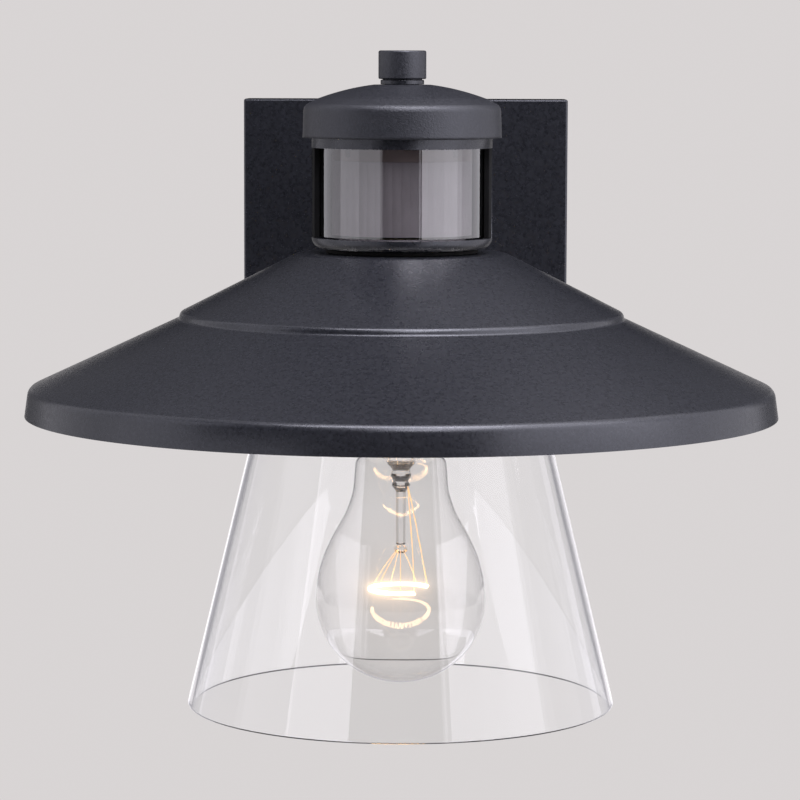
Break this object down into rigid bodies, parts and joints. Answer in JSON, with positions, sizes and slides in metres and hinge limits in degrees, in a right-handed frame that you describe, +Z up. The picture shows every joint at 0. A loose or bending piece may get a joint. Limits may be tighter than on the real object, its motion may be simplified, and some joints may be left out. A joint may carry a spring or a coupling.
{
  "type": "outdoor wall lantern",
  "caption": "Outdoor wall lantern with a square back plate, straight arm, motion-sensor head, stepped round metal shade, clear tapered glass and a filament bulb.",
  "frame": {"origin": "centre of the back plate on the wall plane, on the mounting strap's rear face", "axes": "+Z up, +Y into the wall, -Y out towards the viewer, +X to the viewer's right; the lamp axis is vertical at x 0, y -0.164"},
  "size_m": [0.2666, 0.2973, 0.2327],
  "materials": {
    "black_paint": "fine sandy black powder coat",
    "black_plastic": "matt",
    "smoked_lens": "glossy dark smoked",
    "milky_lens": "translucent milky",
    "clear_glass": "clear",
    "zinc": "zinc plated",
    "brass": "plain",
    "nickel": "nickel plated",
    "porcelain": "glazed ceramic",
    "rubber": "matt",
    "foam": "closed-cell foam",
    "circuit_board": "green solder mask",
    "component_black": "moulded",
    "component_blue": "moulded",
    "white_plastic": "moulded",
    "green_screw": "green plated",
    "black_wire": "insulation",
    "white_wire": "insulation",
    "hot_filament": "glowing",
    "lamp_insulator": "black glass"
  },
  "bodies": {
    "lantern": {"arm": "black_paint", "arm_screw_front_left": "zinc", "arm_screw_front_right": "zinc", "arm_screw_rear_left": "zinc", "arm_screw_rear_right": "zinc", "back_plate": "black_paint", "cap_nut_lower": "nickel", "cap_nut_upper": "nickel", "capacitor": "component_black", "centre_stud": "zinc", "centre_stud_nut": "zinc", "control_deck": "black_plastic", "fresnel_lens": "milky_lens", "glass_seal": "rubber", "glass_shade": "clear_glass", "ground_screw": "green_screw", "live_lead": "black_wire", "mounting_bracket": "zinc", "mounting_stud_lower": "zinc", "mounting_stud_upper": "zinc", "neutral_lead": "white_wire", "nipple_nut_bottom": "brass", "nipple_nut_top": "brass", "photocell": "component_black", "pir_detector": "nickel", "power_board": "circuit_board", "relay": "component_blue", "sensor_board": "circuit_board", "sensor_housing": "black_paint", "sensor_lens": "smoked_lens", "shade": "black_paint", "shade_gasket": "rubber", "socket_body": "porcelain", "socket_centre_contact": "brass", "socket_cup": "black_paint", "socket_ring": "black_plastic", "socket_screw_shell": "brass", "stud_nut_lower": "zinc", "stud_nut_upper": "zinc", "supply_cable": "black_wire", "switch_block": "component_black", "threaded_nipple": "brass", "wall_gasket": "foam", "wire_grommet": "rubber"},
    "cap": {"sensor_cap": "black_paint", "cap_seal": "rubber", "finial_washer": "black_paint"},
    "knob": {"finial_knob": "black_paint"},
    "time_switch": {"time_slider": "white_plastic"},
    "dim_switch": {"dim_slider": "white_plastic"},
    "range_switch": {"range_slider": "white_plastic"},
    "bulb": {"bulb_glass": "clear_glass", "bulb_base": "nickel", "bulb_insulator": "lamp_insulator", "bulb_tip_contact": "nickel", "bulb_stem": "clear_glass", "filament_supports": "nickel", "bulb_lead_rear": "nickel", "bulb_lead_front": "nickel", "filament": "hot_filament"}
  },
  "joints": [
    {"name": "cap_lift", "type": "slide", "parent": "lantern", "child": "cap", "axis": [0, 0, 1], "range_m": [0, 0.045]},
    {"name": "knob_turn", "type": "hinge", "parent": "cap", "child": "knob", "pos_m": [0, -0.164, 0.0776], "axis": [0, 0, 1], "continuous": true},
    {"name": "time_switch_slide", "type": "slide", "parent": "lantern", "child": "time_switch", "axis": [1, 0, 0], "range_m": [0, 0.007]},
    {"name": "dim_switch_slide", "type": "slide", "parent": "lantern", "child": "dim_switch", "axis": [1, 0, 0], "range_m": [0, 0.007]},
    {"name": "range_switch_slide", "type": "slide", "parent": "lantern", "child": "range_switch", "axis": [1, 0, 0], "range_m": [0, 0.007]},
    {"name": "bulb_remove", "type": "slide", "parent": "lantern", "child": "bulb", "axis": [0, 0, -1], "range_m": [0, 0.13]}
  ]
}
